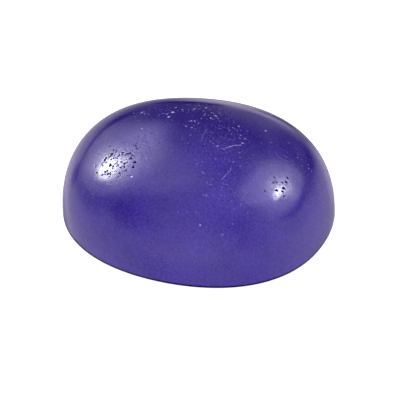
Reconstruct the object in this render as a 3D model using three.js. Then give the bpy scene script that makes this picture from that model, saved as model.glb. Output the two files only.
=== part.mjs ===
// Oval cabochon: one piece of violet jade, cut with a high polished dome over a flat lapped back.
// Millimetres, +Z up, +X along the stone. The origin is the middle of the flat back.

import * as THREE from "three";

// Driving dimensions
const LENGTH = 18; // at the girdle, the widest section
const WIDTH = 14.4;
const HEIGHT = 7.6;
const GIRDLE_HEIGHT = 0.4;
const BACK_INSET = 0.25; // how far the back's edge is set in from the girdle, under a rounded bevel

// How full the forms are: the share by which the oval swells past an ellipse at its four corners, and
// the dome's exponent, where 2 is an ellipse and more is squarer
const OVAL_FULLNESS = 0.035;
const DOME_FULLNESS = 2.72;

// What cutting by hand left uneven: waves of the radius round the stone, as shares of it, at the girdle
// and at the crown, and how far the crown leans off centre
const GIRDLE_WAVES = [
  { count: 3, share: 0.012, degrees: 104 },
  { count: 4, share: 0.007, degrees: 90 },
];
const CROWN_WAVES = [
  { count: 2, share: 0.004, degrees: 45 },
  { count: 3, share: 0.014, degrees: 204 },
  { count: 4, share: 0.015, degrees: 218 },
];
const CROWN_LEAN_X = -0.1;

// Mesh fineness
const SPOKES = 96;
const DOME_RINGS = 36;
const BEVEL_RINGS = 3;

const COLOUR = 0x4a3c96;
const ROUGHNESS = 0.12;

// Radius over the dome, as a share of the girdle's, at a share of the way up from girdle to apex
function domeRadius(rise) {
  return Math.sqrt(1 - rise ** DOME_FULLNESS);
}

// Radius over the bevel, at a share of the way up from the back to the girdle
function bevelRadius(rise) {
  return 1 - (BACK_INSET / (WIDTH / 2)) * (1 - rise) ** 2;
}

// Half section of a round blank with a radius of 1, from the middle of the back round to the apex
function sectionProfile() {
  const points = [new THREE.Vector2(0, 0)];
  for (let ring = 0; ring < BEVEL_RINGS; ring++) {
    const rise = ring / BEVEL_RINGS;
    points.push(new THREE.Vector2(bevelRadius(rise), rise * GIRDLE_HEIGHT));
  }
  for (let ring = 0; ring < DOME_RINGS; ring++) {
    const rise = Math.sin((ring / DOME_RINGS) * (Math.PI / 2));
    const height = THREE.MathUtils.lerp(GIRDLE_HEIGHT, HEIGHT, rise);
    points.push(new THREE.Vector2(domeRadius(rise), height));
  }
  points.push(new THREE.Vector2(0, HEIGHT));
  return points;
}

// Sum of a set of waves at an angle round the stone. A wave dies out towards the axis, the finer the
// sooner, so that the apex stays smooth.
function waveSum(waves, angle, calm) {
  let sum = 0;
  for (const { count, share, degrees } of waves) {
    const phase = THREE.MathUtils.degToRad(degrees);
    sum += share * Math.cos(count * angle - phase) * calm ** (count - 2);
  }
  return sum;
}

// Carries a point of the round blank to its place on the oval, uneven stone
function shapePoint(point) {
  const angle = Math.atan2(point.y, point.x);
  const radius = Math.hypot(point.x, point.y);
  const rise = Math.max(0, (point.z - GIRDLE_HEIGHT) / (HEIGHT - GIRDLE_HEIGHT));
  const calm = radius * (2 - radius);
  const uneven = THREE.MathUtils.lerp(
    waveSum(GIRDLE_WAVES, angle, calm),
    waveSum(CROWN_WAVES, angle, calm),
    rise,
  );
  const swell = 1 + OVAL_FULLNESS * (calm * Math.sin(2 * angle)) ** 2 + uneven;
  point.x *= (LENGTH / 2) * swell;
  point.y *= (WIDTH / 2) * swell;
  point.x += CROWN_LEAN_X * rise ** 2;
}

function cabochonGeometry() {
  const geometry = new THREE.LatheGeometry(sectionProfile(), SPOKES);
  geometry.rotateX(Math.PI / 2); // the lathe turns about Y, and the stone stands on Z
  const position = geometry.getAttribute("position");
  const point = new THREE.Vector3();
  for (let i = 0; i < position.count; i++) {
    shapePoint(point.fromBufferAttribute(position, i));
    position.setXYZ(i, point.x, point.y, point.z);
  }
  geometry.computeVertexNormals();
  return geometry;
}

const jade = new THREE.MeshStandardMaterial({
  color: COLOUR,
  roughness: ROUGHNESS,
  metalness: 0,
});

const cabochon = new THREE.Mesh(cabochonGeometry(), jade);
cabochon.name = "cabochon";

const stone = new THREE.Group();
stone.add(cabochon);

export default stone;
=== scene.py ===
"""Looks of an oval cabochon of violet jade: a polished dome over a matt lapped back, with the pits and
hairlines left in its polish. The stone's sizes are in millimetres, as they are in its solid, and are turned
into metres where its mesh is made."""

import math

import bpy
import numpy as np
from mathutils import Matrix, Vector


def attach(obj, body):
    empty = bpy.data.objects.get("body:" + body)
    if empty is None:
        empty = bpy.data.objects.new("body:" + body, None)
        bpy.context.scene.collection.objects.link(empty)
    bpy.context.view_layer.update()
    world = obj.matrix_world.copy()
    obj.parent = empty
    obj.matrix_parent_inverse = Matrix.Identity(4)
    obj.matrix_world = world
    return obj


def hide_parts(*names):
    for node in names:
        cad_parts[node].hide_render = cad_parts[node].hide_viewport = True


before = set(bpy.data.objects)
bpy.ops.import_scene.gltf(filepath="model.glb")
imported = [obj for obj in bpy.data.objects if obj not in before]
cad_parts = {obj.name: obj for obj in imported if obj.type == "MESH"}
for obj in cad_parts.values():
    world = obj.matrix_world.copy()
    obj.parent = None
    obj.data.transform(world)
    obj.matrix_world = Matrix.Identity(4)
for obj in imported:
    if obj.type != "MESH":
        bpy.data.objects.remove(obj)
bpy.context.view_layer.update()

MM = 0.001

# The stone, as its solid has it
LENGTH = 18.0
WIDTH = 14.4
HEIGHT = 7.6
GIRDLE_HEIGHT = 0.4
BACK_INSET = 0.25
OVAL_FULLNESS = 0.035
DOME_FULLNESS = 2.72
GIRDLE_WAVES = ((3, 0.012, 104), (4, 0.007, 90))  # count, share of the radius, degrees
CROWN_WAVES = ((2, 0.004, 45), (3, 0.014, 204), (4, 0.015, 218))
CROWN_LEAN_X = -0.1
SNUG = 0.9997  # the fine mesh is drawn in by this, to stay inside the box of its coarser solid

# The photograph's view. Bearings are degrees round the stone: 0 is towards the camera, 90 is to its right.
CAMERA_AZIMUTH = 11.05
CAMERA_ELEVATION = 40.0
CAMERA_DISTANCE = 0.2
CAMERA_LENS = 274.2
CAMERA_CLIP = (0.01, 100)
SENSOR = 36.0
CAMERA_AIM = Vector((0.32, -0.962, 2.225)) * MM

# Mesh fineness: cells across the dome, finer cells across each one that holds a pit, rings below the girdle
DOME_CELLS = 196
PIT_CELLS = 5
BEVEL_RINGS = 5
BACK_RINGS = 4
BACK_EDGE_ANGLE = math.radians(30)  # only the fold round the back is sharper than this, and stays crisp
ROUNDS = 30  # of closing in on the point of the dome that lies over a given spot
OUTERMOST = 0.999  # share of the girdle's radius that a point of the dome is sought within


def dome_radius(rise):
    """Radius over the dome as a share of the girdle's, at a share of the way up from girdle to apex."""
    return np.sqrt(np.clip(1 - rise**DOME_FULLNESS, 0, 1))


def bevel_radius(rise):
    """Radius over the bevel, at a share of the way up from the back to the girdle."""
    return 1 - BACK_INSET / (WIDTH / 2) * (1 - rise) ** 2


def wave_sum(waves, angle, calm):
    """Share of the radius that the waves add. Those of three or more calm down towards the apex."""
    return sum(
        share * np.cos(count * angle - math.radians(degrees)) * calm ** (count - 2)
        for count, share, degrees in waves
    )


def swell(angle, radius, rise):
    """How far the oval, uneven stone stands out past a plain ellipse, as a factor."""
    calm = radius * (2 - radius)
    uneven = (1 - rise) * wave_sum(GIRDLE_WAVES, angle, calm)
    uneven = uneven + rise * wave_sum(CROWN_WAVES, angle, calm)
    return 1 + OVAL_FULLNESS * (calm * np.sin(2 * angle)) ** 2 + uneven


def place(angle, radius, height):
    """Points on the stone, from their angle round it, radius as a share of the girdle's, and height."""
    rise = np.clip((height - GIRDLE_HEIGHT) / (HEIGHT - GIRDLE_HEIGHT), 0, 1)
    reach = radius * swell(angle, radius, rise)
    x = LENGTH / 2 * reach * np.cos(angle) + CROWN_LEAN_X * rise**2
    y = WIDTH / 2 * reach * np.sin(angle)
    return np.stack([x * SNUG, y * SNUG, height + 0 * x], -1)


def on_dome(x, y):
    """The points of the dome that lie over x and y."""
    radius = np.hypot(2 * x / LENGTH, 2 * y / WIDTH)
    for _ in range(ROUNDS):
        rise = (1 - np.clip(radius, 0, OUTERMOST) ** 2) ** (1 / DOME_FULLNESS)
        across = 2 * (x - CROWN_LEAN_X * rise**2) / LENGTH
        along = 2 * y / WIDTH
        angle = np.arctan2(along, across)
        radius = np.hypot(across, along) / swell(angle, radius, rise)
    return place(angle, radius, GIRDLE_HEIGHT + rise * (HEIGHT - GIRDLE_HEIGHT))


# Pits and hairlines in the polish, in millimetres seen from above. Tone is what a pit's colour turns to: 1
# is pale polishing dust, which also paints the glint that a pit catches, and -1 is a near-black painted
# shade, which darkens the pits that lie in the highlights.

# Those large enough to tell apart: x, y, length, width, degrees from +X to its length, tone
SINGLE_PITS = (
    # in the left highlight
    (-5.15, -3.13, 0.25, 0.17, 80, -1.00),
    (-5.61, -2.54, 0.37, 0.13, 57, -1.00),
    (-5.23, -2.33, 0.38, 0.10, 58, -1.00),
    (-5.43, -2.22, 0.16, 0.07, 57, -0.51),
    (-5.04, -2.49, 0.18, 0.07, 50, -0.66),
    (-4.70, -2.54, 0.25, 0.12, 50, -1.00),
    (-4.47, -2.36, 0.19, 0.15, 0, -1.00),
    (-4.47, -2.51, 0.13, 0.10, 0, -1.00),
    (-4.19, -2.50, 0.16, 0.08, 145, -1.00),
    (-3.95, -2.51, 0.18, 0.13, 0, -1.00),
    (-3.79, -2.68, 0.14, 0.13, 0, -1.00),
    (-3.84, -2.89, 0.23, 0.16, 15, -1.00),
    (-3.49, -3.21, 0.26, 0.16, 5, -1.00),
    (-4.19, -3.23, 0.16, 0.13, 0, -0.95),
    (-4.41, -3.08, 0.20, 0.09, 150, -1.00),
    (-4.36, -3.44, 0.16, 0.14, 0, -1.00),
    (-4.17, -3.43, 0.20, 0.10, 0, -1.00),
    (-3.55, -3.53, 0.19, 0.17, 0, -1.00),
    (-4.00, -3.71, 0.15, 0.12, 0, -0.98),
    (-4.41, -3.80, 0.14, 0.12, 0, -1.00),
    (-4.33, -3.92, 0.11, 0.10, 0, -1.00),
    (-4.42, -4.02, 0.14, 0.11, 0, -0.90),
    (-5.20, -3.69, 0.20, 0.15, 20, -1.00),
    (-5.26, -3.48, 0.15, 0.10, 85, -0.80),
    (-5.43, -3.49, 0.13, 0.12, 60, -1.00),
    (-5.60, -3.62, 0.16, 0.09, 0, -0.71),
    (-5.37, -3.69, 0.09, 0.07, 0, -0.84),
    (-5.05, -3.66, 0.13, 0.11, 60, -1.00),
    (-5.02, -3.77, 0.10, 0.09, 0, -1.00),
    (-5.04, -3.90, 0.13, 0.09, 70, -1.00),
    (-5.02, -2.67, 0.13, 0.09, 30, -1.00),
    (-5.17, -2.71, 0.13, 0.10, 20, -1.00),
    (-5.46, -2.84, 0.15, 0.09, 20, -0.78),
    (-5.71, -2.98, 0.19, 0.07, 145, -0.79),
    (-4.92, -3.29, 0.13, 0.07, 70, -0.53),
    (-4.95, -3.40, 0.10, 0.07, 70, -0.73),
    (-4.79, -2.73, 0.13, 0.10, 0, -1.00),
    (-4.72, -3.01, 0.13, 0.10, 60, -0.70),
    (-4.87, -3.12, 0.10, 0.07, 60, -0.50),
    (-4.69, -3.32, 0.08, 0.07, 0, -0.43),
    (-5.17, -1.96, 0.20, 0.09, 55, -0.98),
    (-5.51, -1.54, 0.16, 0.11, 90, -0.69),
    (-3.71, -1.93, 0.21, 0.11, 140, -1.00),
    (-3.54, -2.19, 0.13, 0.11, 0, -0.69),
    (-6.23, -1.89, 0.16, 0.11, 30, -0.78),
    (-6.03, -3.34, 0.14, 0.13, 0, -1.00),
    (-6.23, -2.82, 0.14, 0.13, 0, -1.00),
    (-3.64, -4.03, 0.12, 0.11, 0, -0.98),
    (-3.56, -4.11, 0.16, 0.14, 0, 1.00),
    # in the right highlight
    (6.14, -2.75, 0.24, 0.17, 70, -1.00),
    (5.75, -3.15, 0.18, 0.14, 0, -1.00),
    (6.12, -2.98, 0.19, 0.13, 0, -1.00),
    (6.22, -2.23, 0.18, 0.17, 0, -1.00),
    (6.25, -1.87, 0.17, 0.14, 0, -1.00),
    (6.24, -3.21, 0.17, 0.10, -80, -0.92),
    (5.43, -2.80, 0.13, 0.12, 0, -1.00),
    (5.53, -2.62, 0.12, 0.10, 45, -0.99),
    (6.01, -2.42, 0.13, 0.12, 0, -1.00),
    (5.86, -2.67, 0.09, 0.08, 0, -0.80),
    (5.67, -2.61, 0.09, 0.08, 45, -0.80),
    (5.46, -2.39, 0.11, 0.10, 0, -1.00),
    (5.05, -3.57, 0.11, 0.10, 0, -1.00),
    # over the top and the middle
    (-1.96, 1.41, 0.24, 0.15, 10, 1.00),
    (-2.11, 0.82, 0.16, 0.13, 0, 0.98),
    (-2.28, 1.17, 0.11, 0.10, 0, 0.91),
    (-4.07, 1.55, 0.20, 0.11, 80, 0.77),
    (-3.84, 1.38, 0.11, 0.09, 0, 0.26),
    (-3.65, -0.37, 0.12, 0.11, 0, 0.89),
    (-1.89, 2.08, 0.11, 0.10, 0, 0.57),
    (-1.39, 1.81, 0.16, 0.09, 5, 0.68),
    (-0.63, 2.05, 0.12, 0.11, 0, 1.00),
    (-0.45, 2.66, 0.13, 0.11, 0, 0.35),
    (0.07, 2.40, 0.15, 0.13, 0, 0.80),
    (0.88, 1.48, 0.22, 0.11, 165, 0.63),
    (0.63, 1.13, 0.14, 0.12, 0, 0.83),
    (0.16, 1.35, 0.11, 0.10, 0, 0.35),
    (1.06, 1.97, 0.10, 0.09, 0, 0.57),
    (1.10, 1.20, 0.10, 0.09, 0, 0.35),
    (1.27, 0.94, 0.10, 0.09, 0, 0.36),
    (2.53, 0.87, 0.16, 0.11, 10, 0.60),
    (2.19, 0.53, 0.10, 0.09, 0, 0.28),
    (2.04, 0.21, 0.11, 0.10, 0, 0.36),
    (2.82, 0.01, 0.12, 0.10, 0, 0.41),
    (4.23, 1.35, 0.13, 0.12, 0, 0.96),
    (-0.33, 0.53, 0.12, 0.10, 0, 0.60),
    (-0.54, 0.51, 0.12, 0.10, 0, 0.67),
    (-0.38, -0.18, 0.12, 0.10, 0, 0.42),
    (-0.78, -0.11, 0.10, 0.10, 0, 0.48),
    (1.57, -1.51, 0.13, 0.12, 80, 0.43),
    (1.26, -1.35, 0.10, 0.09, 0, 0.25),
    (3.07, -0.69, 0.18, 0.10, 5, 0.68),
    (2.84, -0.33, 0.10, 0.09, 0, 0.23),
    (3.13, -0.19, 0.15, 0.07, 0, 0.30),
    (3.04, -1.59, 0.10, 0.09, 0, 0.20),
    (2.43, -3.57, 0.10, 0.09, 0, 0.15),
    (7.31, 0.17, 0.13, 0.11, 0, 0.27),
    (7.50, 0.16, 0.11, 0.10, 0, 0.19),
    (6.53, 0.34, 0.10, 0.09, 0, 0.19),
    # low on the stone
    (1.47, -4.89, 0.20, 0.09, 80, 0.14),
    (0.44, -5.78, 0.13, 0.11, 0, 0.06),
    (1.02, -5.75, 0.15, 0.09, 10, 0.10),
    (1.36, -6.21, 0.12, 0.10, 0, 0.57),
    (2.83, -6.29, 0.20, 0.09, 60, 0.16),
    (-2.17, -7.00, 0.16, 0.14, 0, 1.00),
    (-4.36, -6.42, 0.17, 0.14, 0, -0.98),
    (8.53, -2.12, 0.19, 0.12, 0, 1.00),
    (8.03, -3.35, 0.10, 0.08, 0, 0.42),
)

# Fields of smaller ones: x, y, spread along, spread across, degrees from +X to along, count, longest
# length, widest width, tone
PIT_FIELDS = (
    (-5.25, -2.32, 0.40, 0.18, 45, 24, 0.26, 0.075, -0.8),
    (-5.20, -3.23, 0.45, 0.40, 30, 24, 0.09, 0.06, -0.9),
    (-4.29, -3.23, 0.65, 0.50, 20, 66, 0.11, 0.08, -1.0),
    (-4.09, -2.23, 0.80, 0.50, 20, 70, 0.12, 0.085, -1.0),
    (-4.30, -2.90, 1.00, 0.65, 20, 40, 0.11, 0.08, 0.4),
    (-3.39, -0.82, 0.90, 0.90, 20, 40, 0.12, 0.09, -0.7),
    (5.82, -2.72, 0.50, 0.45, 60, 34, 0.10, 0.08, -0.8),
    (-3.30, 1.51, 0.70, 0.50, 30, 24, 0.10, 0.08, 0.45),
    (-1.90, 1.70, 0.60, 0.50, 0, 20, 0.10, 0.08, 0.7),
    (-0.19, 2.21, 0.90, 0.45, 0, 26, 0.10, 0.08, 0.5),
    (0.56, 1.35, 0.50, 0.40, 0, 24, 0.10, 0.08, 0.6),
    (-0.44, 0.34, 0.35, 0.35, 0, 14, 0.09, 0.08, 0.6),
    (1.52, -0.42, 0.80, 0.75, 20, 34, 0.11, 0.07, 0.22),
    (2.92, 0.18, 0.55, 0.50, 0, 16, 0.10, 0.08, 0.28),
    (1.12, -2.64, 0.80, 0.80, 0, 20, 0.11, 0.08, 0.15),
    (2.62, -3.34, 0.70, 0.80, 55, 24, 0.12, 0.08, 0.16),
    (3.62, -4.63, 0.90, 0.60, 0, 20, 0.12, 0.08, 0.20),
    (-6.60, -4.42, 0.60, 0.50, 40, 16, 0.10, 0.08, 0.25),
    (6.72, 0.20, 1.10, 0.60, 0, 20, 0.10, 0.08, 0.22),
    (0.02, -0.02, 4.50, 3.40, 0, 60, 0.09, 0.07, 0.20),
    (-3.80, -2.20, 1.10, 0.80, 20, 50, 0.08, 0.06, -0.9),
    (1.80, -0.70, 1.10, 0.90, 20, 36, 0.10, 0.08, 0.26),
)

# Hairlines: width, tone, and points along each
HAIRLINES = (
    (0.060, 0.62, ((2.10, -1.51), (2.32, -1.34), (2.57, -1.12), (2.82, -0.99), (3.01, -0.91))),
    (0.045, 0.10, ((0.49, -1.33), (0.47, -0.94), (0.52, -0.54), (0.62, -0.13))),
    (0.045, 0.17, ((2.28, -3.80), (2.43, -3.56), (2.58, -3.32), (2.73, -3.09), (2.71, -2.89))),
    (0.045, 0.06, ((5.17, -0.42), (5.47, -0.65), (5.82, -0.69), (6.12, -0.57))),
)
HAIRLINE_STEP = 0.09
HAIRLINE_REACH = 0.8  # half length of each pit along a hairline, in steps

PIT_SEED = 11
PIT_LOBES = 3  # bulges in the uneven edge of a pit
PIT_EDGE = 1.18  # how far past its even outline the uneven edge goes
PIT_DEPTH = 0.22  # share of its width
PIT_WALL = 0.8  # below 1 gives a pit a steeper wall and a flatter floor
PIT_FILLING = 6  # how steeply the filling sets in from the edge
PITS_END = 0.985  # there are none further out than this share of the girdle's radius

# Least and most of what is random in a pit
PHASES = (0, 6)  # of its uneven edge, in radians
FIELD_SIZES = (0.5, 1.0)  # before their power, as a share of the largest in the field
FIELD_SIZE_POWER = 1.5
FIELD_DEPTHS = (0.5, 1.0)
FIELD_TONES = (0.4, 1.0)
FIELD_TURN = 0.25  # spread of headings, in radians
HAIRLINE_TONES = (0.3, 1.0)


def single_pits(rng):
    """Rows of the pits that are set one by one."""
    for x, y, length, width, degrees, tone in SINGLE_PITS:
        phase = rng.uniform(*PHASES)
        yield x, y, length / 2, width / 2, math.radians(degrees), tone, PIT_DEPTH * width, phase


def field_pits(rng):
    """Rows of the pits that are strewn over the fields."""
    for x, y, spread, spread_across, degrees, count, longest, widest, tone in PIT_FIELDS:
        turn = math.radians(degrees)
        for _ in range(count):
            along = rng.normal() * spread
            across = rng.normal() * spread_across
            size = rng.uniform(*FIELD_SIZES) ** FIELD_SIZE_POWER
            pit_x = x + along * math.cos(turn) - across * math.sin(turn)
            pit_y = y + along * math.sin(turn) + across * math.cos(turn)
            width = widest * size
            length = max(width, longest * size)
            heading = turn + rng.normal() * FIELD_TURN
            depth = PIT_DEPTH * width * rng.uniform(*FIELD_DEPTHS)
            strength = rng.uniform(*FIELD_TONES)
            phase = rng.uniform(*PHASES)
            yield pit_x, pit_y, length / 2, width / 2, heading, tone * strength, depth, phase


def hairline_pits(rng):
    """Rows of the pits that follow one another along the hairlines."""
    for width, tone, points in HAIRLINES:
        for start, end in zip(points, points[1:]):
            start, end = np.array(start), np.array(end)
            turn = math.atan2(*(end - start)[::-1])
            steps = max(1, round(math.dist(start, end) / HAIRLINE_STEP))
            for i in range(steps):
                x, y = start + (end - start) * (i + 0.5) / steps
                half_length = HAIRLINE_STEP * HAIRLINE_REACH
                strength = rng.uniform(*HAIRLINE_TONES)
                depth = PIT_DEPTH * width * strength
                phase = rng.uniform(*PHASES)
                yield x, y, half_length, width / 2, turn, tone * strength, depth, phase


def pit_table():
    """All pits as rows of x, y, half length, half width, turn, tone, depth and phase of the uneven edge."""
    rng = np.random.default_rng(PIT_SEED)
    table = np.array([*single_pits(rng), *field_pits(rng), *hairline_pits(rng)])
    share_out = np.hypot(2 * table[:, 0] / LENGTH, 2 * table[:, 1] / WIDTH)
    return table[share_out < PITS_END]


def disc_from_square(u, v):
    """Angle and radius on the unit disc of a point on the square from -1 to 1, with cells kept even."""
    flat = np.abs(u) > np.abs(v)
    long = np.where(flat, u, v)
    short = np.where(flat, v, u)
    turn = math.pi / 4 * short / np.where(long == 0, 1, long)
    angle = np.where(flat, turn, math.pi / 2 - turn) + np.where(long < 0, math.pi, 0)
    return angle, np.abs(long)


def dome_point(u, v):
    """The dome's point at a place on the square of its grid."""
    angle, share = disc_from_square(u, v)
    rise = np.cos(share * math.pi / 2)
    return place(angle, dome_radius(rise), GIRDLE_HEIGHT + rise * (HEIGHT - GIRDLE_HEIGHT))


def cells_with_pits(pits):
    """Which cells of the dome's grid a pit reaches into."""
    marks = np.arange(DOME_CELLS * PIT_CELLS + 1) / (DOME_CELLS * PIT_CELLS) * 2 - 1
    corners = dome_point(marks[::PIT_CELLS, None], marks[None, ::PIT_CELLS])
    middle = (corners[1:, 1:] + corners[:-1, :-1] + corners[1:, :-1] + corners[:-1, 1:]) / 4
    size = np.linalg.norm(corners[1:, 1:] - corners[:-1, :-1], axis=-1) / 2
    size = np.maximum(size, np.linalg.norm(corners[1:, :-1] - corners[:-1, 1:], axis=-1) / 2)
    fine = np.zeros((DOME_CELLS, DOME_CELLS), bool)
    steps = np.arange(PIT_CELLS + 1)
    for spot, length in zip(on_dome(pits[:, 0], pits[:, 1]), pits[:, 2]):
        reach = length * PIT_EDGE
        for i, j in np.argwhere(np.linalg.norm(middle - spot, axis=-1) < reach + size):
            cell_u, cell_v = marks[i * PIT_CELLS + steps], marks[j * PIT_CELLS + steps]
            points = dome_point(cell_u[:, None], cell_v[None, :])
            fine[i, j] |= np.linalg.norm(points - spot, axis=-1).min() < reach
    return fine


def dome_grid(fine):
    """The dome's faces, as numbers of corners on a lattice of PIT_CELLS steps to a cell, and the lattice's
    corners in a row. A cell that is fine gives small faces, and one beside it takes their corners into its
    own edge."""
    n = PIT_CELLS
    span = DOME_CELLS * n + 1
    faces = []
    padded = np.pad(fine, 1)
    for i, j in np.argwhere(fine):
        for a in range(i * n, i * n + n):
            for b in range(j * n, j * n + n):
                faces.append((a * span + b, (a + 1) * span + b, (a + 1) * span + b + 1, a * span + b + 1))
    for i, j in np.argwhere(~fine):
        low_a, high_a, low_b, high_b = i * n, i * n + n, j * n, j * n + n
        face = [(a, low_b) for a in range(low_a, high_a, 1 if padded[i + 1, j] else n)]
        face += [(high_a, b) for b in range(low_b, high_b, 1 if padded[i + 2, j + 1] else n)]
        face += [(a, high_b) for a in range(high_a, low_a, -1 if padded[i + 1, j + 2] else -n)]
        face += [(low_a, b) for b in range(high_b, low_b, -1 if padded[i, j + 1] else -n)]
        faces.append(tuple(a * span + b for a, b in face))
    return faces, span


def ring_sizes():
    """Radius and height of each ring below the girdle: down the bevel, then in over the flat back."""
    for i in range(BEVEL_RINGS - 1, -1, -1):
        rise = i / BEVEL_RINGS
        yield bevel_radius(rise), rise * GIRDLE_HEIGHT
    for i in range(BACK_RINGS - 1, 0, -1):
        yield bevel_radius(0) * i / BACK_RINGS, 0.0


def stone_mesh(pits):
    """The dome as a grid of even cells, then rings from the grid's edge to the middle of the back."""
    faces, span = dome_grid(cells_with_pits(pits))
    used = np.unique(np.concatenate([np.array(face) for face in faces]))
    number = {key: i for i, key in enumerate(used.tolist())}
    faces = [tuple(number[key] for key in face) for face in faces]
    u = 2 * (used // span) / (span - 1) - 1
    v = 2 * (used % span) / (span - 1) - 1
    points = [dome_point(u, v)]

    angle, share = disc_from_square(u, v)
    rim = np.argwhere(share == 1)[:, 0]
    rim = rim[np.argsort(np.mod(angle[rim], 2 * math.pi))]
    above = rim
    count = len(used)
    for radius, height in ring_sizes():
        points.append(place(angle[rim], radius, np.full(len(rim), height)))
        below = np.arange(count, count + len(rim))
        count += len(rim)
        corners = (above, below, np.roll(below, -1), np.roll(above, -1))
        faces += zip(*(numbers.tolist() for numbers in corners))
        above = below
    points.append(np.zeros((1, 3)))
    faces += [(int(a), count, int(b)) for a, b in zip(above, np.roll(above, -1))]

    mesh = bpy.data.meshes.new("stone")
    mesh.from_pydata(np.concatenate(points) * MM, [], faces)
    mesh.shade_smooth()
    mesh.set_sharp_from_angle(angle=BACK_EDGE_ANGLE)
    return mesh


def hollow_at(away, normal, half_length, half_width, turn, phase):
    """How far into a pit each point is, 0 at its uneven edge and 1 in its middle, from the points' way from
    the middle and the dome's normal there."""
    along = np.array([math.cos(turn), math.sin(turn), 0])
    along = along - normal * (along @ normal)
    along /= np.linalg.norm(along)
    across = np.cross(normal, along)
    s, t = away @ along / half_length, away @ across / half_width
    edge = 1 + (PIT_EDGE - 1) * np.sin(PIT_LOBES * np.arctan2(t, s) + phase)
    return np.clip(1 - (s**2 + t**2) / edge**2, 0, 1)


def press_pits(mesh, pits):
    """Sinks the pits into the polish, and keeps for the material how far each point is into the filling of
    one, and its tone."""
    count = len(mesh.vertices)
    flat = np.empty(count * 3)
    mesh.vertices.foreach_get("co", flat)
    points = flat.reshape(-1, 3) / MM
    normals = np.empty(count * 3)
    mesh.vertex_normals.foreach_get("vector", normals)
    normals = normals.reshape(-1, 3)
    sunk = np.zeros(count)
    share = np.zeros(count)
    tones = np.zeros(count)
    spots = on_dome(pits[:, 0], pits[:, 1])
    for spot, (_, _, half_length, half_width, turn, tone, depth, phase) in zip(spots, pits):
        near = np.argwhere(np.abs(points - spot).max(-1) < half_length * PIT_EDGE)[:, 0]
        away = points[near] - spot
        normal = normals[near[np.argmin(np.linalg.norm(away, axis=-1))]]
        hollow = hollow_at(away, normal, half_length, half_width, turn, phase)
        deep = depth * hollow**PIT_WALL
        deeper = deep > sunk[near]
        sunk[near] = np.where(deeper, deep, sunk[near])
        share[near] = np.where(deeper, np.minimum(1, hollow * PIT_FILLING), share[near])
        tones[near] = np.where(deeper, tone, tones[near])
    moved = (points - normals * sunk[:, None]) * MM
    mesh.vertices.foreach_set("co", moved.ravel())
    for name, values in (("pit", share), ("tone", tones)):
        mesh.attributes.new(name, "FLOAT", "POINT").data.foreach_set("value", values)
    mesh.update()


class Nodes:
    """A short way to add nodes to a tree and to join them."""

    def __init__(self, tree):
        self.tree = tree

    def node(self, kind, *inputs, **settings):
        node = self.tree.nodes.new("ShaderNode" + kind)
        for name, value in settings.items():
            setattr(node, name, value)
        for index, value in enumerate(inputs):
            self.put(node.inputs[index], value)
        return node

    def put(self, socket, value):
        if isinstance(value, bpy.types.NodeSocket):
            self.tree.links.new(value, socket)
        elif value is not None:
            socket.default_value = value

    def math(self, operation, *inputs):
        return self.node("Math", *inputs, operation=operation).outputs[0]

    def vector(self, operation, first, second):
        """A sum or product of two vectors or colours, axis by axis."""
        return self.node("VectorMath", first, second, operation=operation).outputs["Vector"]

    def measure(self, operation, first, second):
        """A number from two vectors."""
        return self.node("VectorMath", first, second, operation=operation).outputs["Value"]

    def step(self, value, low, high, out_low=0.0, out_high=1.0):
        """Goes smoothly from out_low to out_high as value goes from low to high."""
        node = self.node("MapRange", value, low, high, out_low, out_high, interpolation_type="SMOOTHSTEP")
        return node.outputs[0]

    def nearness(self, vector, middle, reach, peak):
        """Fades smoothly from peak at the middle to nothing at the reach."""
        return self.step(self.measure("DISTANCE", vector, middle), 0.0, reach, peak, 0.0)

    def grey(self, value):
        """A colour that has the value in red, green and blue."""
        return self.node("CombineXYZ", value, value, value).outputs[0]

    def tinted(self, value, colour):
        """A colour times a value."""
        return self.vector("MULTIPLY", self.grey(value), colour)

    def noise(self, vector, per_mm, detail=2.0, roughness=0.5):
        node = self.node("TexNoise", vector)
        node.inputs["Scale"].default_value = per_mm
        node.inputs["Detail"].default_value = detail
        node.inputs["Roughness"].default_value = roughness
        return node.outputs["Fac"]

    def speckle(self, vector, pattern, out_low=0.0, out_high=1.0):
        """Noise in one of the patterns below, which goes smoothly from out_low to out_high."""
        per_mm, detail, roughness, low, high = pattern
        return self.step(self.noise(vector, per_mm, detail, roughness), low, high, out_low, out_high)

    def mix(self, share, first, second):
        node = self.node("Mix", share, data_type="RGBA")
        self.put(node.inputs[6], first)
        self.put(node.inputs[7], second)
        return node.outputs[2]


# The stone's colours, as the share of light given back in red, green and blue
JADE = (0.0433, 0.0200, 0.306, 1)
JADE_DEEP = (0.0336, 0.0146, 0.258, 1)
JADE_MILKY = (0.0575, 0.0334, 0.351, 1)
# Pale polishing dust in the pits and hairlines, which also paints the glints that they catch
DUST_AND_GLINT = (0.74, 0.64, 1.0, 1)
# Painted shade, near black, that darkens the pits which lie in the highlights
PIT_SHADE = (0.006, 0.002, 0.022, 1)
FINE_GRAIN = (0.013, 0.013, 0.050)  # how much its finest grain adds or takes

# Patterns of noise in it: how fine per millimetre, detail, roughness, and the noise's values where a
# pattern begins and is full
CLOUDS = (0.45, 3.0, 0.5, 0.35, 0.68)
GRAIN = (3.2, 3.0, 0.6, 0.30, 0.70)
FLECKS = (2.1, 1.0, 0.5, 0.66, 0.76)
FINEST = (6.5, 3.0, 0.7, 0.30, 0.70)
MOTTLING = (6.0, 3.0, 0.7, 0.50, 0.68)
GLOSS_GRAIN = (7.5, 3.0, 0.7, 0.30, 0.70)
GRAIN_SHARE = 0.30  # of the milky colour in the grain
FLECK_SHARE = 0.4

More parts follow.
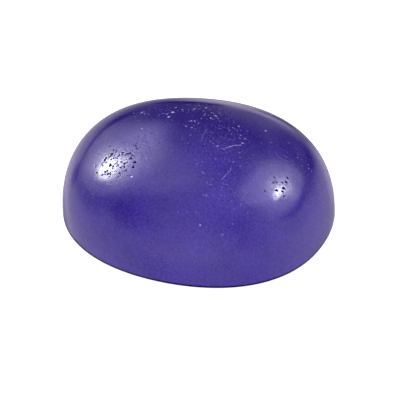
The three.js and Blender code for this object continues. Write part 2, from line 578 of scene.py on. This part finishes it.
# Soft zones of painted light and shade, where the stone is made paler on the front and right flank and
# deeper over the top: X, Y and Z of the middle and reach in millimetres, gain
LIGHT_ZONES = (
    (2.3, -4.2, 6.3, 5.5, 0.11),
    (0.4, 1.9, 7.3, 5.0, -0.15),
    (8.3, -1.5, 2.8, 3.0, 0.12),
)
MOTTLED = (1.6, -0.8, 7.5, 3.4)  # middle and reach of the mottled spot on the crown
MOTTLES = 0.13  # how much of their own colour its mottles take
MOTTLE_COLOUR = (0.44, 0.39, 1.0, 1)

JADE_IOR = 1.66
GLOSS = (0.36, 0.64)  # least and most specular level
SCATTER_WEIGHT = 0.9
SCATTER_SCALE = 1.0 * MM
SCATTER_RADIUS = (0.7, 0.5, 1.0)
POLISH = 0.08  # roughness of the dome
LAPPED = 0.40  # roughness of the back
IN_PIT = 0.85  # roughness inside a pit
BACK_FACING = (-0.98, -0.80)  # Z of the normal where the lapped back is full, and where it ends
PEEL_PER_MM = 6.0
ORANGE_PEEL = 2.2e-6  # metres of rise and fall that the polish leaves on hard and soft grains
LAP_SCALES = ((0.6, 14.0, 1.0), (9.0, 1.1, 1.0))  # two sets of marks: how fine per millimetre of X, Y and Z
LAP_MARKS = 2.0e-6

# Painted shade along the foot of the ground bevel, where the stone meets the table: how dark it is at its
# foot, and between which heights that fades. At the stone's ends it reaches higher: middle X, reach, how
# much higher, and the power by which that rises towards them.
BEVEL_SHADE = 0.08
BEVEL_SHADE_HEIGHTS = (0.28, 0.44)
BEVEL_ENDS = (1.0, 8.0, 0.16, 4.0)


def body_colour(nodes, at):
    """Violet with faint clouds, grain and flecks, soft zones of painted light and shade, and a mottled
    spot.
    """
    colour = nodes.mix(nodes.speckle(at, CLOUDS), JADE_DEEP, JADE)
    colour = nodes.mix(nodes.math("MULTIPLY", nodes.speckle(at, GRAIN), GRAIN_SHARE), colour, JADE_MILKY)
    colour = nodes.mix(nodes.math("MULTIPLY", nodes.speckle(at, FLECKS), FLECK_SHARE), colour, JADE_MILKY)
    finest = nodes.speckle(at, FINEST, -1.0, 1.0)
    colour = nodes.vector("ADD", colour, nodes.tinted(finest, FINE_GRAIN))
    # Painted light on the front and right flank, and painted shade over the top
    light = 1.0
    for *middle, reach, gain in LIGHT_ZONES:
        light = nodes.math("ADD", light, nodes.nearness(at, middle, reach, gain))
    colour = nodes.vector("MULTIPLY", colour, nodes.grey(light))
    *middle, reach = MOTTLED
    spot = nodes.nearness(at, middle, reach, MOTTLES)
    mottles = nodes.math("MULTIPLY", nodes.speckle(at, MOTTLING), spot)
    return nodes.mix(mottles, colour, MOTTLE_COLOUR)


def bevel_light(nodes, at):
    """Painted shade along the stone's foot: goes from BEVEL_SHADE at the foot of the ground bevel to 1 on
    the dome.
    """
    spot = nodes.node("SeparateXYZ", at)
    middle, reach, higher, power = BEVEL_ENDS
    end = nodes.math("MULTIPLY_ADD", spot.outputs["X"], 1 / reach, -middle / reach)
    end = nodes.math("POWER", nodes.math("ABSOLUTE", end), power)
    height = nodes.math("MULTIPLY_ADD", end, -higher, spot.outputs["Z"])
    return nodes.step(height, *BEVEL_SHADE_HEIGHTS, BEVEL_SHADE, 1.0)


def tool_marks(nodes, at, lapped):
    """The faint orange peel of the polish, and the lap marks of the back, as a normal."""
    peel = nodes.math("MULTIPLY", nodes.noise(at, PEEL_PER_MM), ORANGE_PEEL)
    marks = [nodes.noise(nodes.vector("MULTIPLY", at, scale), 1.0) for scale in LAP_SCALES]
    marks = nodes.math("MULTIPLY", nodes.math("ADD", *marks), LAP_MARKS)
    marks = nodes.math("MULTIPLY", marks, lapped)
    bump = nodes.node("Bump")
    bump.inputs["Strength"].default_value = 1.0
    bump.inputs["Distance"].default_value = 1.0
    nodes.put(bump.inputs["Height"], nodes.math("ADD", peel, marks))
    return bump.outputs[0]


def jade_material():
    """Violet jade with a clear polish on the dome, and fine lap marks on the flat back."""
    material = bpy.data.materials.new("jade")
    material.use_nodes = True
    nodes = Nodes(material.node_tree)
    shader = material.node_tree.nodes["Principled BSDF"]
    shader.inputs["IOR"].default_value = JADE_IOR
    shader.inputs["Subsurface Scale"].default_value = SCATTER_SCALE
    shader.inputs["Subsurface Radius"].default_value = SCATTER_RADIUS

    at = nodes.vector("MULTIPLY", nodes.node("TexCoord").outputs["Object"], (1 / MM, 1 / MM, 1 / MM))
    facing = nodes.node("SeparateXYZ", nodes.node("NewGeometry").outputs["True Normal"]).outputs["Z"]
    lapped = nodes.step(facing, *BACK_FACING, 1.0, 0.0)
    # Painted shade at the foot of the bevel, kept off the lapped back
    painted_bevel_shade = nodes.math("MAXIMUM", bevel_light(nodes, at), lapped)
    pit = nodes.node("Attribute", attribute_name="pit").outputs["Fac"]
    tone = nodes.node("Attribute", attribute_name="tone").outputs["Fac"]
    pale = nodes.math("MULTIPLY", pit, nodes.math("MAXIMUM", tone, 0.0))
    dark = nodes.math("MULTIPLY", pit, nodes.math("MAXIMUM", nodes.math("MULTIPLY", tone, -1.0), 0.0))

    colour = nodes.vector("MULTIPLY", body_colour(nodes, at), nodes.grey(painted_bevel_shade))
    # Pale dust in the pale pits and hairlines, with a painted glint
    colour = nodes.mix(pale, colour, DUST_AND_GLINT)
    # Painted shade in the dark pits
    colour = nodes.mix(dark, colour, PIT_SHADE)
    nodes.put(shader.inputs["Base Color"], colour)

    # Gloss is taken away where shade is painted: in the dark pits and at the foot of the bevel
    out_of_pit_shade = nodes.math("SUBTRACT", 1.0, dark)
    gloss = nodes.speckle(at, GLOSS_GRAIN, *GLOSS)
    gloss = nodes.math("MULTIPLY", gloss, nodes.math("MULTIPLY", painted_bevel_shade, out_of_pit_shade))
    nodes.put(shader.inputs["Specular IOR Level"], gloss)
    whole = nodes.math("SUBTRACT", 1.0, pit)
    nodes.put(shader.inputs["Subsurface Weight"], nodes.math("MULTIPLY", whole, SCATTER_WEIGHT))

    roughness = nodes.node("MapRange", lapped, 0.0, 1.0, POLISH, LAPPED).outputs[0]
    roughness = nodes.node("MapRange", pit, 0.0, 1.0, roughness, IN_PIT).outputs[0]
    nodes.put(shader.inputs["Roughness"], roughness)
    nodes.put(shader.inputs["Normal"], tool_marks(nodes, at, lapped))
    return material


def sine(degrees):
    return math.sin(math.radians(degrees))


def cosine(degrees):
    return math.cos(math.radians(degrees))


def direction(bearing, elevation):
    """Unit vector from the stone."""
    turn = CAMERA_AZIMUTH + bearing
    return Vector((sine(turn) * cosine(elevation), -cosine(turn) * cosine(elevation), sine(elevation)))


def make_camera():
    camera = bpy.data.objects.new("camera", bpy.data.cameras.new("camera"))
    bpy.context.collection.objects.link(camera)
    camera.data.lens = CAMERA_LENS
    camera.data.sensor_width = SENSOR
    camera.data.clip_start, camera.data.clip_end = CAMERA_CLIP
    back = direction(0, CAMERA_ELEVATION)
    camera.location = CAMERA_AIM + back * CAMERA_DISTANCE
    camera.rotation_euler = back.to_track_quat("Z", "Y").to_euler()
    bpy.context.scene.camera = camera


# What the stone mirrors, as brightness against the white of the picture. A patch is a soft round spot of
# more or less light: bearing, elevation, degrees to its edge, degrees to its even middle, gain.
ROOM_COLOUR = (0.948, 0.850, 1.0, 1)
TABLE = 0.498
ROOM = 0.333
HORIZON_LOW = -17.6
HORIZON_HIGH = -3.8
ROOM_PATCHES = {
    "dark gap left of the camera": (-48.2, 13.6, 23.8, 0.9, -0.40),
    "wall behind the camera": (-23, 6.3, 43.1, 1.3, 0.42),
    "dark far side": (158.5, 12.5, 46.5, 24, -0.24),
    "glow above the left softbox": (-101.5, 57.8, 38.6, 8.1, 0.64),
    "stand of the left softbox": (-130.6, -11.1, 10.2, 2.2, -0.45),
    "foot of the left softbox": (-91.2, 8.8, 30.6, 4.4, -0.26),
    "foot of the right softbox": (140.7, 11.3, 19.6, 0.2, -0.40),
    "pale wall behind the stone": (168.8, -12.4, 15, 0.7, 0.83),
    "wall right of that": (151, 0.9, 33.9, 8, 0.36),
    "wall behind the left softbox": (-139.4, 5.5, 20.3, 10.1, 0.19),
    "wall right of the camera": (58.4, -6.1, 64.2, 12, 0.13),
    "ceiling": (-6.3, 63.4, 36.2, 9.4, 0.30),
    "table left": (-103.7, -21.3, 74.7, 2.4, 0.45),
    "table in front": (-2.4, -17.3, 35.9, 8.9, 0.23),
    "table right": (84.9, 10.2, 76, 19.2, 0.38),
    "table behind on the right": (151.3, -23.9, 14.4, 3.5, 0.35),
    "shade below the pale wall": (164.3, -15.5, 12.6, 0.3, -0.79),
    "wall in front of the left softbox": (-66.6, -2, 12.6, 4.1, 0.16),
    "stone's own shade on the table": (0, -90, 45, 15, -0.6),
    "table behind on the left": (-143, -27, 17, 3, 0.17),
    "shade behind on the left": (-176, -15, 5, 1, -0.12),
    "shade beside the stone on the left": (-150, -43, 12, 1, -0.38),
    "wall behind on the right": (162, -4, 9, 1, 0.17),
    "shade behind on the right": (167, -17, 6, 1, -0.35),
    "shade above the pale wall": (-177.5, -5, 5, 1, -0.14),
    "glow above the pale wall": (172.5, 2, 5, 1, 0.15),
}

# Dark lines where the table ends: the pole of the line, as bearing and elevation, degrees from the pole's
# equator, half width in degrees, the middle and the reach in degrees of the part of it that shows, gain
DARK_LINES = {
    "behind the left softbox": ((-40, 77.7), -3.7, 8.3, (-138.2, -0.4), 34.8, -0.22),
    "below the right softbox": ((-134.7, 70), 0.1, 10.9, (104.4, -15), 56.6, -0.31),
    "lower edge of the right softbox": ((90, 42), 59, 5, (90, 11), 40, -0.36),
    "crisp line behind the left softbox": ((-53, 69.2), 0, 2.5, (-146, 1.5), 24, -0.25),
    "back left": ((0, 90), 2, 5, (-146, 2), 24, -0.18),
    "back": ((-90, 55), -2.3, 6.5, (178, -2.5), 5.2, -0.27),
}
LINE_EVEN = 0.6  # share of the reach where a line is at its full strength
LEAST_LIGHT = 0.02


def patch_light(nodes, toward, bearing, elevation, edge, middle, gain):
    """How much light a patch adds in each direction."""
    near = nodes.measure("DOT_PRODUCT", toward, direction(bearing, elevation))
    return nodes.step(near, cosine(edge), cosine(middle), 0.0, gain)


def line_light(nodes, toward, pole, lift, half, middle, reach, gain):
    """How much light a dark line takes in each direction."""
    across = nodes.measure("DOT_PRODUCT", toward, direction(*pole))
    away = nodes.math("ABSOLUTE", nodes.math("SUBTRACT", across, sine(lift)))
    line = nodes.step(away, 0.0, sine(half), gain, 0.0)
    along = nodes.measure("DOT_PRODUCT", toward, direction(*middle))
    shown = nodes.step(along, cosine(reach), cosine(reach * LINE_EVEN))
    return nodes.math("MULTIPLY", line, shown)


def make_world():
    world = bpy.data.worlds.new("studio")
    world.use_nodes = True
    bpy.context.scene.world = world
    nodes = Nodes(world.node_tree)
    toward = nodes.node("TexCoord").outputs["Generated"]
    level = nodes.node("SeparateXYZ", toward).outputs["Z"]
    light = nodes.step(level, sine(HORIZON_LOW), sine(HORIZON_HIGH), TABLE, ROOM)
    for patch in ROOM_PATCHES.values():
        light = nodes.math("ADD", light, patch_light(nodes, toward, *patch))
    for line in DARK_LINES.values():
        light = nodes.math("ADD", light, line_light(nodes, toward, *line))
    background = world.node_tree.nodes["Background"]
    background.inputs["Color"].default_value = ROOM_COLOUR
    nodes.put(background.inputs["Strength"], nodes.math("MAXIMUM", light, LEAST_LIGHT))


LAMP_DISTANCE = 0.5


def make_lamp(name, bearing, elevation, width, height):
    """An area light that faces the stone, with its half width and half height in degrees as the stone sees
    it. At this energy, an emission strength of 1 in it looks as bright as the white of the picture."""
    data = bpy.data.lights.new(name, "AREA")
    data.shape = "RECTANGLE"
    data.size = 2 * LAMP_DISTANCE * math.tan(math.radians(width))
    data.size_y = 2 * LAMP_DISTANCE * math.tan(math.radians(height))
    data.energy = math.pi * data.size * data.size_y
    lamp = bpy.data.objects.new(name, data)
    bpy.context.collection.objects.link(lamp)
    away = direction(bearing, elevation)
    lamp.location = Vector((0, 0, HEIGHT / 2 * MM)) + away * LAMP_DISTANCE
    lamp.rotation_euler = away.to_track_quat("Z", "Y").to_euler()
    return lamp


# Softboxes: bearing, elevation, half width and half height in degrees, then pools of light, one in another.
# A pool is its middle and half size, both as shares of the box's half size, its roll in degrees, the share
# of the way out where it starts to fade, its brightness and its colour.
HALO = (0.753, 0.700, 1.0)
WHITE = (1.0, 1.0, 1.0)
SOFTBOXES = {
    "softbox_left": (
        (-113, 38, 50, 44),
        (-0.129, -0.027, 0.857, 0.750, 37.4, 0.43, 0.93, HALO),
        (-0.381, 0.221, 0.329, 0.656, 100, 0.20, 0.69, HALO),
        (-0.021, -0.026, 0.573, 0.757, 21.8, 0.72, 0.46, HALO),
        (-0.036, -0.028, 0.385, 0.531, -26.9, 0.02, 4.30, WHITE),
        (0.009, -0.065, 0.248, 0.260, 47.1, 0.30, 10.50, WHITE),
        (-0.050, 0.160, 0.120, 0.130, 0, 0.10, 4.00, WHITE),
        (-0.120, -0.100, 0.100, 0.120, 0, 0.10, 3.00, WHITE),
    ),
    "softbox_right": (
        (90, 42, 46, 40),
        (-0.019, 0.012, 0.907, 0.832, -30.4, 0.02, 1.72, HALO),
        (0.009, 0.257, 0.870, 0.370, -33.8, 0.62, 0.76, HALO),
        (0.392, -0.352, 0.381, 0.493, 86.3, 0.30, 1.06, HALO),
        (0.107, -0.022, 0.438, 0.298, -54.4, 0.18, 2.75, WHITE),
        (-0.015, -0.010, 0.262, 0.115, -6, 0.02, 12.00, WHITE),
        (0.100, -0.110, 0.110, 0.090, 0, 0.10, 4.50, WHITE),
    ),
}
POOL_SQUARENESS = 2.4  # 2 is an ellipse, and more is squarer


def make_pool(nodes, across, up, pool):
    """The light of one pool as a colour."""
    middle_across, middle_up, half_width, half_height, roll, start, brightness, colour = pool
    x = nodes.math("SUBTRACT", across, middle_across)
    y = nodes.math("SUBTRACT", up, middle_up)
    powers = []
    axes = ((cosine(roll), sine(roll), half_width), (-sine(roll), cosine(roll), half_height))
    for part_x, part_y, half in axes:
        turned = nodes.math("MULTIPLY_ADD", x, part_x / half, nodes.math("MULTIPLY", y, part_y / half))
        powers.append(nodes.math("POWER", nodes.math("ABSOLUTE", turned), POOL_SQUARENESS))
    reach = nodes.math("POWER", nodes.math("ADD", *powers), 1 / POOL_SQUARENESS)
    glow = nodes.step(reach, start, 1.0, brightness, 0.0)
    return nodes.tinted(glow, colour)


def make_softbox(name):
    """A softbox that only the polish mirrors, as the sum of its pools of light."""
    box, *pools = SOFTBOXES[name]
    lamp = make_lamp(name, *box)
    lamp.visible_diffuse = False
    lamp.data.use_nodes = True
    nodes = Nodes(lamp.data.node_tree)
    spot = nodes.node("SeparateXYZ", nodes.node("TexCoord").outputs["UV"])
    across, up = (nodes.math("MULTIPLY_ADD", spot.outputs[axis], 2.0, -1.0) for axis in "XY")
    light = (0, 0, 0)
    for pool in pools:
        light = nodes.vector("ADD", light, make_pool(nodes, across, up, pool))
    emission = lamp.data.node_tree.nodes["Emission"]
    emission.inputs["Strength"].default_value = 1.0
    nodes.put(emission.inputs["Color"], light)


FLOOR_REACH = 1.5
FLOOR_LEVEL = -0.01 * MM  # just clear of the stone's back
FLOOR_GREY = (0.8, 0.8, 0.8, 1)
FLOOR_ROUGHNESS = 0.9
FLOOR_GLOW = 0.8  # its own light, which makes it white in the picture


def make_floor():
    """A plain white floor, which neither shows in the polish nor lights the stone."""
    mesh = bpy.data.meshes.new("floor")
    signs = ((-1, -1), (1, -1), (1, 1), (-1, 1))
    corners = [(x * FLOOR_REACH, y * FLOOR_REACH, FLOOR_LEVEL) for x, y in signs]
    mesh.from_pydata(corners, [], [(0, 1, 2, 3)])
    floor = bpy.data.objects.new("floor", mesh)
    bpy.context.collection.objects.link(floor)
    material = bpy.data.materials.new("floor")
    material.use_nodes = True
    shader = material.node_tree.nodes["Principled BSDF"]
    shader.inputs["Base Color"].default_value = FLOOR_GREY
    shader.inputs["Roughness"].default_value = FLOOR_ROUGHNESS
    shader.inputs["Emission Color"].default_value = (1, 1, 1, 1)
    shader.inputs["Emission Strength"].default_value = FLOOR_GLOW
    mesh.materials.append(material)
    floor.visible_glossy = False
    floor.visible_diffuse = False


# Soft lights that only feed the stone's body colour: bearing, elevation, brightness
FILLS = {
    "fill_left": (-45, 45, 0.80),
    "fill_front": (12, 15, 1.84),
    "fill_right": (70, 12, 0.32),
}
FILL_SIZE = 25  # half width and half height in degrees


def make_fill(name):
    bearing, elevation, brightness = FILLS[name]
    fill = make_lamp(name, bearing, elevation, FILL_SIZE, FILL_SIZE)
    fill.data.energy *= brightness
    fill.visible_glossy = False


make_camera()
make_world()
make_floor()
for name in SOFTBOXES:
    make_softbox(name)
for name in FILLS:
    make_fill(name)

pits = pit_table()
stone = bpy.data.objects.new("cabochon_visual", stone_mesh(pits))
bpy.context.collection.objects.link(stone)
press_pits(stone.data, pits)
stone.data.materials.append(jade_material())
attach(stone, "root")
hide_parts("cabochon")

bpy.context.scene.view_settings.view_transform = "Standard"
